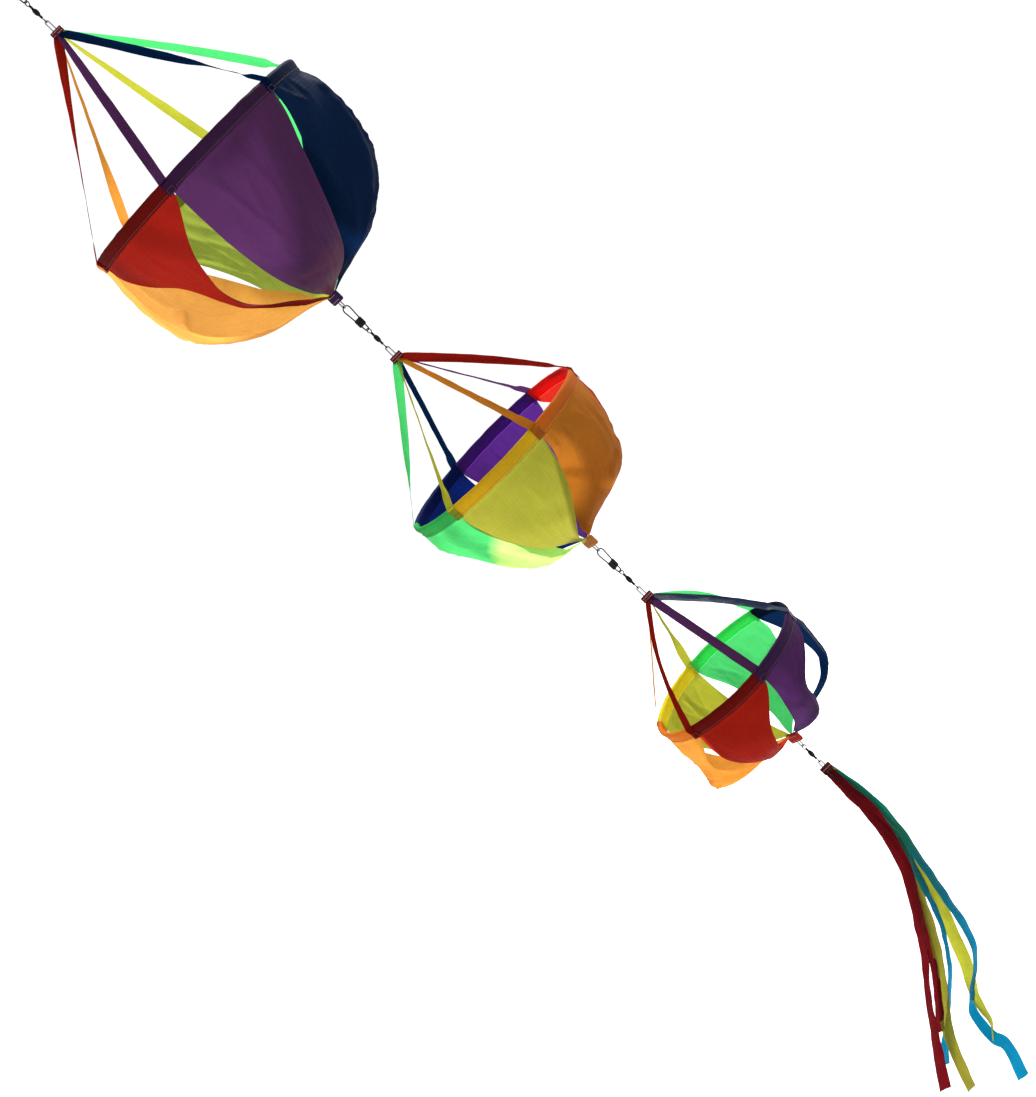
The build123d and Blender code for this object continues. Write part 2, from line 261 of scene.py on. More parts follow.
def cloth(
    name, colour, glow, second=None, where=None, roughness=0.55, through=0.5, pitch=0.004, gloss=0.04
):
    """Thin ripstop: square reinforcing threads over a fine weave, lit from both sides.

    second is another colour and glow. They come in along (x, y) of the cloth, from level to level + span,
    where is (x, y, level, span).
    """
    n = Nodes(name)
    uv = n.add("ShaderNodeUVMap", uv_map="cloth")
    split = n.add("ShaderNodeSeparateXYZ")
    n.link(uv.outputs[0], split.inputs[0])
    x, y = split.outputs[0], split.outputs[1]
    grid = n.maths("MAXIMUM", n.cells(x, pitch, RIP_LINE_W), n.cells(y, pitch, RIP_LINE_W))
    weft = n.maths("SINE", n.maths("MULTIPLY", x, math.tau / THREAD_PITCH))
    warp = n.maths("SINE", n.maths("MULTIPLY", y, math.tau / THREAD_PITCH))
    weave = n.maths("MULTIPLY", weft, warp)
    place = n.add("ShaderNodeTexCoord")
    broad = n.add("ShaderNodeTexNoise")
    broad.inputs["Scale"].default_value = 26.0
    broad.inputs["Detail"].default_value = 4.0
    n.link(place.outputs["Object"], broad.inputs["Vector"])
    fine = n.add("ShaderNodeTexNoise")
    fine.inputs["Scale"].default_value = 210.0
    fine.inputs["Detail"].default_value = 3.0
    n.link(place.outputs["Object"], fine.inputs["Vector"])
    tone = n.maths("MULTIPLY_ADD", broad.outputs[0], 0.30, 0.83)
    tone = n.maths("MULTIPLY", tone, n.maths("MULTIPLY_ADD", fine.outputs[0], 0.16, 0.92))
    tone = n.maths("MULTIPLY", tone, n.maths("MULTIPLY_ADD", weave, 0.05, 1.0))
    tone = n.maths("MULTIPLY", tone, n.maths("MULTIPLY_ADD", grid, -0.08, 1.0))
    shade = n.add("ShaderNodeCombineXYZ")
    for i in range(3):
        n.link(tone, shade.inputs[i])
    if second:
        along_x, along_y, level, span = where
        reach = n.maths("MULTIPLY_ADD", x, along_x / span, -level / span)
        reach = n.maths("MULTIPLY_ADD", y, along_y / span, reach)
        reach = n.maths("ADD", reach, n.maths("MULTIPLY_ADD", broad.outputs[0], 1.2, -0.6))
        reach = n.maths("MINIMUM", n.maths("MAXIMUM", reach, 0.0), 1.0)
        colour, glow = (n.blend(reach, first, last) for first, last in zip((colour, glow), second))
    front = n.blend(1.0, colour, shade.outputs[0], "MULTIPLY")
    behind = n.blend(1.0, glow, shade.outputs[0], "MULTIPLY")
    height = n.maths("ADD", n.maths("MULTIPLY", grid, 1.0), n.maths("MULTIPLY", weave, 0.22))
    height = n.maths("ADD", height, n.maths("MULTIPLY", fine.outputs[0], 0.9))
    bump = n.add("ShaderNodeBump")
    bump.inputs["Strength"].default_value = 0.35
    bump.inputs["Distance"].default_value = 0.00035
    n.link(height, bump.inputs["Height"])
    skin = n.add("ShaderNodeBsdfPrincipled")
    skin.inputs["Specular IOR Level"].default_value = gloss
    n.link(n.maths("MULTIPLY_ADD", fine.outputs[0], 0.18, roughness - 0.09), skin.inputs["Roughness"])
    n.link(front, skin.inputs["Base Color"])
    n.link(bump.outputs[0], skin.inputs["Normal"])
    shine = n.add("ShaderNodeBsdfTranslucent")
    n.link(behind, shine.inputs["Color"])
    n.link(bump.outputs[0], shine.inputs["Normal"])
    both = n.add("ShaderNodeMixShader")
    both.inputs[0].default_value = through
    n.link(skin.outputs[0], both.inputs[1])
    n.link(shine.outputs[0], both.inputs[2])
    out = n.add("ShaderNodeOutputMaterial")
    n.link(both.outputs[0], out.inputs[0])
    return n.material


def solid(
    name, colour, roughness, metallic=0.0, grain=900.0, depth=0.0001, tint=0.12, coat=0.0, gloss=0.5
):
    """Opaque surface with a fine grain in colour, gloss and height."""
    n = Nodes(name)
    place = n.add("ShaderNodeTexCoord")
    fine = n.add("ShaderNodeTexNoise")
    fine.inputs["Scale"].default_value = grain
    fine.inputs["Detail"].default_value = 4.0
    n.link(place.outputs["Object"], fine.inputs["Vector"])
    worn = n.add("ShaderNodeTexNoise")
    worn.inputs["Scale"].default_value = grain * 0.22
    n.link(place.outputs["Object"], worn.inputs["Vector"])
    tone = n.maths("MULTIPLY_ADD", worn.outputs[0], tint * 2, 1.0 - tint)
    shade = n.add("ShaderNodeCombineXYZ")
    for i in range(3):
        n.link(tone, shade.inputs[i])
    bump = n.add("ShaderNodeBump")
    bump.inputs["Strength"].default_value = 0.4
    bump.inputs["Distance"].default_value = depth
    n.link(fine.outputs[0], bump.inputs["Height"])
    skin = n.add("ShaderNodeBsdfPrincipled")
    skin.inputs["Metallic"].default_value = metallic
    skin.inputs["Coat Weight"].default_value = coat
    skin.inputs["Specular IOR Level"].default_value = gloss
    n.link(n.blend(1.0, colour, shade.outputs[0], "MULTIPLY"), skin.inputs["Base Color"])
    n.link(n.maths("MULTIPLY_ADD", fine.outputs[0], 0.2, roughness - 0.1), skin.inputs["Roughness"])
    n.link(bump.outputs[0], skin.inputs["Normal"])
    out = n.add("ShaderNodeOutputMaterial")
    n.link(skin.outputs[0], out.inputs[0])
    return n.material


# Colour by reflected light, then by light that shines through
PAINT = {
    "red": ((0.125, 0.0050, 0.003), (0.235, 0.008, 0.004)),
    "orange": ((0.46, 0.165, 0.020), (0.76, 0.31, 0.045)),
    "yellow": ((0.22, 0.225, 0.018), (0.42, 0.43, 0.032)),
    "green": ((0.04, 0.34, 0.09), (0.07, 0.60, 0.15)),
    "navy": ((0.0010, 0.0075, 0.032), (0.0013, 0.0125, 0.052)),
    "purple": ((0.038, 0.0115, 0.046), (0.078, 0.021, 0.092)),
    "blue": ((0.001, 0.075, 0.14), (0.002, 0.24, 0.44)),
    "maroon": ((0.060, 0.0012, 0.003), (0.15, 0.003, 0.006)),
    # Yellow ribbon colours painted darker for the shade it hangs in: painted shade
    "yellow_in_shade": ((0.15, 0.14, 0.016), (0.30, 0.27, 0.026)),
}
# Gores painted lighter or darker than the rest of their colour for the light or shade on them: painted
# light and painted shade
LIT_AND_SHADED_GORES = {
    ("orange", 0): ((0.60, 0.25, 0.045), (0.95, 0.46, 0.095)),
    ("yellow", 0): ((0.15, 0.19, 0.025), (0.30, 0.37, 0.05)),
    ("orange", 1): ((0.28, 0.090, 0.009), (0.40, 0.135, 0.013)),
    ("yellow", 1): ((0.20, 0.195, 0.020), (0.34, 0.335, 0.035)),
    ("purple", 1): ((0.030, 0.008, 0.075), (0.070, 0.015, 0.175)),
    ("navy", 1): ((0.002, 0.007, 0.060), (0.003, 0.012, 0.120)),
    ("red", 1): ((0.22, 0.008, 0.006), (0.50, 0.018, 0.010)),
    ("red", 2): ((0.12, 0.0040, 0.002), (0.24, 0.008, 0.003)),
    ("purple", 2): ((0.034, 0.010, 0.050), (0.070, 0.018, 0.100)),
    ("green", 2): ((0.035, 0.30, 0.08), (0.06, 0.52, 0.13)),
}
# Hem bands painted brighter than their gore: painted light on the doubled cloth of the hem
LIT_HEMS = {
    ("yellow", 1): ((0.34, 0.25, 0.012), (0.90, 0.62, 0.030)),
    ("orange", 1): ((0.36, 0.11, 0.009), (0.70, 0.22, 0.018)),
    ("purple", 1): ((0.045, 0.012, 0.11), (0.16, 0.035, 0.36)),
    ("red", 1): ((0.40, 0.012, 0.010), (0.95, 0.050, 0.035)),
    ("yellow", 2): ((0.55, 0.46, 0.030), (0.98, 0.85, 0.060)),
    ("green", 2): ((0.06, 0.50, 0.13), (0.12, 0.95, 0.24)),
    ("orange", 2): ((0.50, 0.18, 0.020), (0.90, 0.36, 0.040)),
    ("navy", 1): ((0.003, 0.010, 0.080), (0.006, 0.022, 0.20)),
}
LIT_HEM_CLOTH = {key: cloth(f"hem_{key[0]}_{key[1] + 1}", *paint) for key, paint in LIT_HEMS.items()}
# Gores that the light strikes or leaves part of: second colour and glow, then where they come in
PATCHES = {
    ("purple", 0): (((0.065, 0.017, 0.034), (0.125, 0.032, 0.060)), (0.0, 1.0, 0.13, 0.10)),
    ("green", 1): (((0.30, 0.60, 0.12), (0.66, 1.0, 0.26)), (0.5, 1.0, 0.060, 0.015)),
    ("orange", 1): (((0.45, 0.17, 0.015), (0.85, 0.36, 0.035)), (0.0, 1.0, 0.165, 0.02)),
    ("red", 2): (((0.42, 0.018, 0.008), (0.85, 0.055, 0.02)), (-1.0, 0.35, 0.043, 0.006)),
    ("yellow", 0): (((0.36, 0.38, 0.03), (0.70, 0.72, 0.06)), (0.0, 1.0, 0.20, 0.04)),
}
# Cloth for each gore; some gores carry painted light and others painted shade in their colours
CLOTH = {
    (c, k): cloth(f"ripstop_{c}_{k + 1}", *LIT_AND_SHADED_GORES.get((c, k), PAINT[c]), *PATCHES.get((c, k), ()))
    for c in COLOURS for k in range(3)
}
TAPE_WEAVE = dict(roughness=0.7, through=0.42, pitch=0.0016, gloss=0.0)
TAPE = {c: cloth("tape_" + c, *PAINT[c], **TAPE_WEAVE) for c in COLOURS}
# Orange tape of the middle basket painted darker with the shaded gore's colours: painted shade
TAPE["orange_in_shade"] = cloth("tape_orange_in_shade", *LIT_AND_SHADED_GORES["orange", 1], **TAPE_WEAVE)
TAPE["navy_glossy"] = cloth(
    "tape_navy_glossy", *PAINT["navy"], roughness=0.4, through=0.3, pitch=0.0016, gloss=0.16
)
RIBBON_WEAVE = dict(roughness=0.5, through=0.55, pitch=0.0030)
RIBBON_CLOTH = {
    "red": cloth("ribbon_red", *PAINT["maroon"], **RIBBON_WEAVE),
    "yellow": cloth("ribbon_yellow", *PAINT["yellow"], **RIBBON_WEAVE),
    # Cloth for the yellow ribbon that hangs in painted shade
    "yellow_in_shade": cloth("ribbon_yellow_in_shade", *PAINT["yellow_in_shade"], **RIBBON_WEAVE),
    # Blue-green near the tab
    "blue": cloth(
        "ribbon_blue", *PAINT["blue"], **RIBBON_WEAVE,
        second=((0.004, 0.075, 0.050), (0.006, 0.23, 0.13)), where=(0.0, -1.0, -0.21, 0.11),
    ),
}
THREAD = solid("thread", (0.10, 0.06, 0.07), 0.8, grain=2500.0, gloss=0.1)
PALE_THREAD = solid("pale_thread", (0.40, 0.24, 0.27), 0.8, grain=2500.0, gloss=0.1)
METAL = solid(
    "black_nickel", (0.003, 0.003, 0.004), 0.28, grain=1400.0, depth=0.00002, tint=0.3, gloss=0.09
)
ROD = solid("fibreglass", (0.78, 0.78, 0.72), 0.4, grain=700.0, coat=0.3)
SLEEVE_METAL = solid("ferrule", (0.55, 0.55, 0.57), 0.3, metallic=1.0, grain=900.0)
WEBBING = {
    "dark_red": (0.075, 0.0065, 0.006),
    "purple": (0.020, 0.009, 0.040),
    "brown": (0.28, 0.10, 0.022),
    "red": (0.26, 0.016, 0.010),
    "maroon": (0.045, 0.004, 0.006),
}
TABS = {
    name: solid("webbing_" + name, colour, 0.8, grain=1500.0, depth=0.0004, tint=0.3, gloss=0.08)
    for name, colour in WEBBING.items()
}
CORD = solid(
    "braided_cord", (0.26, 0.26, 0.28), 0.75, grain=2600.0, depth=0.0003, tint=0.25, gloss=0.1
)

# A gore's shape a quarter, half and three quarters of the way down, and at the end: how full it is at its
# taut edge, its middle and its free edge (0 is a straight line to the tip, 1 the round bowl) and how many
# degrees each edge draws in. Then its belly and the depth of its folds in mm on the largest basket, and its
# creases: lines from (across, down) to (across, down), as shares of the gore, and their height in mm.
USUAL = dict(
    taut=(0.85, 0.70, 0.60), middle=(1.0, 1.0, 1.0), free=(1.0, 0.95, 0.9), end=0.6,
    taut_in=(0, 0, 0), free_in=(8, 17, 20), belly=6.0, folds=1.6, creases=(),
)
GORES = {
    ("red", 0): dict(
        taut=(0.28, 0.34, 0.34), middle=(0.5, 0.42, 0.4), free=(0.6, 0.5, 0.45), free_in=(21, 41, 25),
        belly=1.0, folds=1.8,
    ),
    ("orange", 0): dict(
        taut=(0.42, 0.28, 0.2), free_in=(2, 2, 2), belly=7.0, folds=2.4,
        creases=(
            (0.30, 0.30, 0.62, 0.42, -8.0), (0.36, 0.52, 0.80, 0.34, 7.0), (0.60, 0.62, 0.85, 0.50, -5.0),
        ),
    ),
    ("yellow", 0): dict(taut=(0.95, 0.8, 0.6), free_in=(17, 23, 13), folds=3.0),
    ("green", 0): dict(middle=(1.0, 1.0, 0.85), free=(1.0, 0.9, 0.6), free_in=(5, 10, 12), end=0.4),
    ("navy", 0): dict(
        taut=(0.5, 0.3, 0.34), free_in=(3, 6, 8), belly=10.0, folds=6.0,
        creases=((0.8, 0.22, 1.0, 0.26, -5.0), (0.7, 0.40, 1.0, 0.44, 4.0), (0.75, 0.6, 1.0, 0.62, -3.0)),
    ),
    ("purple", 0): dict(
        taut=(1.0, 0.93, 0.8), free_in=(12, 17, 12), belly=5.0,
        creases=((0.15, 0.62, 0.75, 0.72, -2.5), (0.25, 0.12, 0.45, 0.55, 2.0)),
    ),
    ("red", 1): dict(taut=(0.45, 0.2, 0.05), middle=(0.9, 0.72, 0.4), free_in=(30, 36, 34)),
    ("orange", 1): dict(
        taut=(0.33, 0.05, 0.0), middle=(0.95, 0.92, 0.32), free=(0.8, 0.8, 0.15), free_in=(2, 4, 6),
        folds=2.6, creases=((0.35, 0.40, 0.95, 0.30, -3.0), (0.45, 0.62, 0.95, 0.50, 2.5)),
    ),
    ("yellow", 1): dict(
        taut=(0.68, 0.42, 0.2), middle=(1.0, 0.72, 0.36), free=(1.0, 0.9, 0.7), free_in=(7, 19, 27),
        belly=2.0, folds=1.2,
    ),
    ("green", 1): dict(
        taut=(0.62, 0.60, 0.62), middle=(0.72, 0.76, 0.86), free=(0.66, 0.6, 0.7), free_in=(-4, -8, -8),
        belly=0.0, folds=3.6, creases=((0.35, 0.25, 0.5, 0.7, -4.0), (0.6, 0.35, 0.7, 0.8, 3.5)),
    ),
    ("navy", 1): dict(taut=(0.75, 0.6, 0.5), middle=(0.9, 0.82, 0.8), free_in=(12, 22, 24)),
    ("purple", 1): dict(free_in=(7, 13, 14), taut_in=(7, 9, 8), folds=2.8),
    ("red", 2): dict(taut=(1.0, 0.84, 0.5), free_in=(18, 28, 40), belly=2.0, folds=1.2),
    ("orange", 2): dict(
        taut=(0.9, 0.8, 0.7), middle=(1.02, 1.48, 1.85), free_in=(14, 22, 20), belly=2.0, folds=3.2,
        creases=((0.2, 0.35, 0.8, 0.45, -5.0), (0.3, 0.60, 0.9, 0.52, 4.0)),
    ),
    ("yellow", 2): dict(
        free_in=(10, 16, 16), folds=3.2,
        creases=((0.35, 0.05, 0.45, 0.6, -5.0), (0.6, 0.3, 0.9, 0.5, 3.5)),
    ),
    ("green", 2): dict(
        free_in=(9, 15, 16), folds=3.2,
        creases=((0.15, 0.25, 0.7, 0.38, -5.0), (0.3, 0.5, 0.9, 0.3, 4.5), (0.2, 0.62, 0.8, 0.55, -4.0)),
    ),
    ("navy", 2): dict(
        taut=(1, 1.2, 1.4), middle=(1, 1.25, 1.5), free=(1, 1.2, 1.4), taut_in=(5, 17, 18),
        free_in=(17, 26, 24), belly=3.0, folds=2.4,
    ),
    ("purple", 2): dict(
        taut=(0.7, 0.6, 0.5), middle=(1.0, 1.0, 1.38), free=(1, 0.9, 1.12), end=1.3,
        free_in=(39, 31, 18), belly=1.0, folds=1.8,
    ),
}
CREASE_W = 0.026
# Hem from its inner end up, over the rod and down outside: out from the hoop and up, in metres
HEM_PATH = (
    (-0.0007, -0.0105), (-0.0010, -0.0070), (-0.0020, -0.0030), (-0.0026, -0.0006), (-0.0022, 0.0014),
    (-0.0009, 0.0025), (0.0008, 0.0026), (0.0021, 0.0015), (0.0026, -0.0005), (0.0021, -0.0030),
    (0.0011, -0.0070), (0.0008, -0.0105), (0.0006, -0.0115),
)
GORE_ACROSS = 48
GORE_DOWN = 64


def meridian(radius, depth):
    """The round bowl's profile from the hem to the tip."""
    return Path(
        [
            (radius, 0, -HEM_W - 0.001),
            (radius * 1.005, 0, -0.28 * depth),
            (radius * 0.965, 0, -0.5 * depth),
            (radius * 0.82, 0, -0.73 * depth),
            (radius * 0.5, 0, -0.905 * depth),
            (radius * 0.2, 0, -0.975 * depth),
            (0.0022, 0, -1.02 * depth),
        ],
        16,
    )


def through(first, values, last, v):
    """Smooth curve through values at a quarter, half and three quarters of the way."""
    knots = (first, first, *values, last, last)
    i = min(3, int(v * 4))
    t = v * 4 - i
    p0, p1, p2, p3 = knots[i : i + 4] if i else (first, first, values[0], values[1])
    square = (2 * p0 - 5 * p1 + 4 * p2 - p3) * t * t
    return 0.5 * (2 * p1 + (p2 - p0) * t + square + (3 * p1 - p0 - 3 * p2 + p3) * t**3)


def make_gore(colour, k, index):
    """One gore with its hem, its flat size and its area."""
    radius, depth, height = HOOP_R[k], BOWL_DEPTH[k], HOOP_Z[k]
    shape = {**USUAL, **GORES.get((colour, k), {})}
    belly = shape["belly"] * radius / HOOP_R[0] / 1000
    folds = shape["folds"] * radius / HOOP_R[0] / 1000
    line = meridian(radius, depth)
    start = RED_SEAM[k] - GORE_STEP * index
    seed = 7.3 * index + 31.0 * k
    rows, uvs = [], []

    def polar(angle, r, z):
        return Vector((r * math.cos(angle), r * math.sin(angle), height + z))

    hem_run = 0.0
    for i, (out, up) in enumerate(HEM_PATH):
        if i:
            hem_run += math.dist(HEM_PATH[i], HEM_PATH[i - 1])
        row, uv = [], []
        for j in range(GORE_ACROSS + 1):
            u = j / GORE_ACROSS
            angle = math.radians(start + GORE_STEP * u)
            arc = radius * angle
            pucker = 0.00045 * wander(arc * 160, i * 0.35, seed) * min(1, abs(up - 0.003) / 0.006)
            row.append(polar(angle, radius + out + pucker, up + 0.0004 * wander(arc * 90, 3.1, seed)))
            uv.append((radius * math.radians(GORE_STEP) * (u - 0.5), hem_run - 0.03))
        rows.append(row)
        uvs.append(uv)
    for i in range(1, GORE_DOWN + 1):
        v = i / GORE_DOWN
        here = line(v)
        chord = radius * max(0.0, 1 + here.z / depth)
        wave = math.sin(math.pi * v**0.92)
        near_hem = math.exp(-v * 14)
        taut, middle, free = (
            through(1.0, shape[name], shape["end"], v) for name in ("taut", "middle", "free")
        )
        low, high = (
            through(0.0, shape[name], shape[name][2] * 0.6, v) for name in ("taut_in", "free_in")
        )
        width = math.radians(GORE_STEP - high - low)
        row, uv = [], []
        for j in range(GORE_ACROSS + 1):
            u = j / GORE_ACROSS
            angle = math.radians(start + low) + width * u
            edge = mix(taut, free, smooth(u))
            bow = math.sin(math.pi * u) ** 0.75
            full = edge + (middle - edge) * bow
            r = chord + full * (here.x - chord) + belly * bow * math.sin(math.pi * v**0.8)
            fan = (u - 0.5) * 6.0
            crease = wander(fan * 1.9, v * 1.3, seed) + 0.5 * wander(fan * 4.5 + v * 2.0, v * 2.2, seed + 9)
            r += folds * crease * (0.35 + 0.9 * u * u) * wave
            r += 0.6 * folds * wander(u * 26, v * 5, seed + 3) * near_hem
            r += folds * 1.5 * wander(u * 3.0, v * 3.5, seed + 17) * smooth((u - 0.72) / 0.28) * wave
            r += folds * 0.9 * wander(u * 2.2, v * 2.6, seed + 23) * wave
            ridge = 1 - abs(wander(fan * 0.9 + 1.6 * v, v * 0.9 + u, seed + 31))
            cross = 1 - abs(wander(fan * 0.7 - 2.4 * v, v * 1.5, seed + 41))
            r += folds * (1.1 * ridge**7 + 0.8 * cross**8 - 0.35) * min(1.0, 3 * wave) * (1 - u * 0.3)
            for u0, v0, u1, v1, mm in shape["creases"]:
                du, dv = u1 - u0, v1 - v0
                t = min(1.0, max(0.0, ((u - u0) * du + (v - v0) * dv) / (du * du + dv * dv)))
                off = math.hypot(u - u0 - t * du, v - v0 - t * dv) / CREASE_W
                r += mm / 1000 * math.exp(-off * off) * (1 - 0.7 * t)
            r = max(0.0016, r)
            row.append(polar(angle, r, here.z))
            uv.append((r * width * (u - 0.5), v * line.length))
        rows.append(row)
        uvs.append(uv)
    obj = surface(f"gore_{colour}_{k + 1}", rows, uvs, CLOTH[colour, k])
    # The hem band's faces take the hem cloth with painted light
    if (colour, k) in LIT_HEM_CLOTH:
        obj.data.materials.append(LIT_HEM_CLOTH[colour, k])
        for face in obj.data.polygons[: (len(HEM_PATH) - 1) * GORE_ACROSS]:
            face.material_index = 1
    area = sum(face.area for face in obj.data.polygons)
    return obj, (radius * math.radians(GORE_STEP) * FOLD_ALLOWANCE, line.length + hem_run), area


def make_hem_stitches(k):
    """The seam along the lower edge of a hoop's hem."""
    radius, height = HOOP_R[k], HOOP_Z[k]
    sticks = []
    out = radius + 0.0011
    for index in range(6):
        start = RED_SEAM[k] - GORE_STEP * index
        count = int(math.radians(SEAM_ARC) * radius / SEAM_PITCH)
        for j in range(count):
            a, b = (math.radians(start + 1 + SEAM_ARC * (j + s) / count) for s in (0.14, 0.80))
            z = height - SEAM_DROP + 0.0003 * wander(a * 40, index, k)
            sticks.append(tuple(Vector((out * math.cos(t), out * math.sin(t), z)) for t in (a, b)))
    return capsules(f"hem_stitches_{k + 1}", sticks, 0.00020, THREAD)


# Straps: turn away from the front at the tab, halfway and near the hoop, in degrees,
# then how far each bows out, in mm
STRAPS = {
    ("red", 0): (0, 76, 88, 0), ("orange", 0): (87, 68, 15, 0), ("yellow", 0): (84, 40, 10, 0),
    ("green", 0): (66, 45, 30, 3), ("navy", 0): (25, 30, 84, 0), ("purple", 0): (60, 20, 0, 0),
    ("red", 1): (12, 35, 60, 3), ("orange", 1): (60, 53, 43, 0), ("yellow", 1): (86, 84, 70, 0),
    ("green", 1): (0, 45, 86, 0), ("navy", 1): (52, 50, 50, 0), ("purple", 1): (80, 80, 74, 0),
    ("red", 2): (66, 74, 60, 11), ("orange", 2): (86, 87, 86, 0), ("yellow", 2): (80, 60, 10, 0),
    ("green", 2): (40, 35, 62, 10), ("navy", 2): (48, 48, 45, 4), ("purple", 2): (30, 20, 10, 0),
}


def make_strap(colour, k, index):
    """One strap with its length and the directions out from and along the hoop where it is sewn."""
    radius, height = HOOP_R[k], HOOP_Z[k]
    tab_low = Vector(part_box(f"front_tab_{k + 1}")[0]).z
    *turns, bow = STRAPS[(colour, k)]
    angle = math.radians(RED_SEAM[k] - GORE_STEP * index)
    radial = Vector((math.cos(angle), math.sin(angle), 0))
    across = Vector((-math.sin(angle), math.cos(angle), 0))
    top = Vector((0, 0, tab_low + 0.002)) + radial * 0.0016
    wrap = STRAP_WRAP_R
    slope = math.atan2(height - top.z, radius)
    points = [top]
    lean = slope + math.asin(wrap / math.hypot(radius, height - top.z)) + math.pi / 2
    touch = radial * (radius + wrap * math.cos(lean)) + Vector((0, 0, height + wrap * math.sin(lean)))
    for i in range(1, 8):
        share = i / 8
        bulge = math.sin(math.pi * share) * bow / 1000
        points.append(top.lerp(touch, share) + (radial * 0.75 + Vector((0, 0, 0.65))) * bulge)
    for i in range(6):
        turn = mix(lean, -0.5, i / 5)
        rise = Vector((0, 0, height + wrap * math.sin(turn)))
        points.append(radial * (radius + wrap * math.cos(turn)) + rise)
    points += [
        radial * (radius + 0.0019) + Vector((0, 0, height - 0.0055)),
        radial * (radius + 0.0018) + Vector((0, 0, height - 0.0090)),
        radial * (radius + 0.0018) + Vector((0, 0, height - 0.0125)),
    ]
    line = Path(points, 10)
    sewn = 1 - STRAP_SEWN / line.length
    steps, wide = 110, 8
    sight = Vector((0, 1, 0))
    # A tape has no face, so it turns whichever way ends nearer to how it lies on the hoop
    side = line.direction(0.7).cross(sight).normalized()
    lift = side.cross(line.direction(0.7)).normalized()
    held = math.atan2(across.dot(lift), across.dot(side))
    hand = min((1, -1), key=lambda h: abs(math.remainder(held - h * math.radians(turns[2]), math.pi)))
    rows, uvs = [], []
    seed = index * 3.7 + k * 11.0
    for i in range(steps + 1):
        share = i / steps
        middle = line(share)
        along = line.direction(share)
        side = along.cross(sight).normalized()
        lift = side.cross(along).normalized()
        knots = (mix(turns[0], turns[1], 0.6), turns[1], turns[2])
        turn = math.radians(hand * through(turns[0], knots, turns[2], share))
        w = side * math.cos(turn) + lift * math.sin(turn)
        if share > sewn - 0.06:
            firm = smooth((share - sewn + 0.06) / 0.06)
            sign = 1 if w.dot(across) >= 0 else -1
            w = (w * (1 - firm) + across * sign * firm).normalized()
        w = (w - along * w.dot(along)).normalized()
        up = along.cross(w)
        half = STRAP_W / 2 * mix(0.8, 1.0, smooth(share / 0.05)) * (1 + 0.03 * wander(share * 20, seed))
        row, uv = [], []
        free = math.sin(math.pi * min(1, share / sewn)) ** 0.5 if share < sewn else 0
        for j in range(wide + 1):
            u = 2 * j / wide - 1
            curl = 0.0006 * (u * u - 0.4) * free
            ripple = 0.0005 * wander(share * 14, u * 1.2, seed) * free
            row.append(middle + w * half * u + up * (curl + ripple))
            uv.append((STRAP_W / 2 * u, share * line.length))
        rows.append(row)
        uvs.append(uv)
    # The middle basket's orange strap takes the tape with painted shade
    dye = {("navy", 2): "navy_glossy", ("orange", 1): "orange_in_shade"}.get((colour, k), colour)
    obj = surface(f"strap_{colour}_{k + 1}", rows, uvs, TAPE[dye])
    return obj, line.length, (radial, across)


def lap_stitches(k, colour, radial, across):
    """A small sewn box that holds a strap on the hem."""
    low, high = HOOP_Z[k] - LAP_LOW, HOOP_Z[k] - LAP_HIGH
    out = radial * (HOOP_R[k] + 0.0020)
    corners = [(-LAP_HALF_W, low), (LAP_HALF_W, low), (LAP_HALF_W, high), (-LAP_HALF_W, high)]
    sticks = []
    for (x0, z0), (x1, z1) in zip(corners, corners[1:] + corners[:1]):
        steps = max(2, round(math.hypot(x1 - x0, z1 - z0) / LAP_PITCH))
        for i in range(steps):
            shares = ((i + s) / steps for s in (0.15, 0.85))
            sticks.append(
                tuple(out + across * mix(x0, x1, t) + Vector((0, 0, mix(z0, z1, t))) for t in shares)
            )
    return capsules(f"lap_stitches_{colour}_{k + 1}", sticks, 0.00018, THREAD)


def soft_tab(name, low, high, angle, material, stitch_rows):
    """Folded webbing tab with a rounded fold and rows of stitching."""
    width, thick, tall = high.x - low.x, high.y - low.y, high.z - low.z
    middle = (low + high) / 2
    turn = Matrix.Rotation(angle, 3, "Z")
    rows, uvs = [], []
    rings, around = 22, 40
    for i in range(rings + 1):
        v = i / rings
        # Each end rounds off over a sixth of the height
        end = math.sin(math.pi / 2 * min(1, 6 * min(v, 1 - v)))
        end = max(0.05, end) ** 0.5
        row, uv = [], []
        for j in range(around):
            a = math.tau * j / around
            c, s = math.cos(a), math.sin(a)
            x = math.copysign(abs(c) ** 0.28, c) * width / 2 * (0.93 + 0.07 * end)
            y = math.copysign(abs(s) ** 0.45, s) * thick / 2 * end
            y += 0.00022 * wander(x * 900, v * 7, tall * 1e3)
            x += 0.00018 * wander(v * 9, s * 2, width * 1e3)
            row.append(middle + turn @ Vector((x, y, (v - 0.5) * tall)))
            uv.append((a / math.tau * 2 * (width + thick), v * tall))
        rows.append(row)
        uvs.append(uv)
    obj = surface(name, rows, uvs, material, closed_u=True)
    sticks = []
    for share in stitch_rows:
        z = mix(-0.5, 0.5, share) * tall
        for face in (-1, 1):
            for i in range(5):
                x0, x1 = (((i + s) / 5 - 0.5) * width * 0.82 for s in (0.12, 0.82))
                y = face * thick / 2
                sticks.append(tuple(middle + turn @ Vector((x, y, z)) for x in (x0, x1)))
    return obj, capsules(name + "_stitches", sticks, 0.00026, PALE_THREAD)


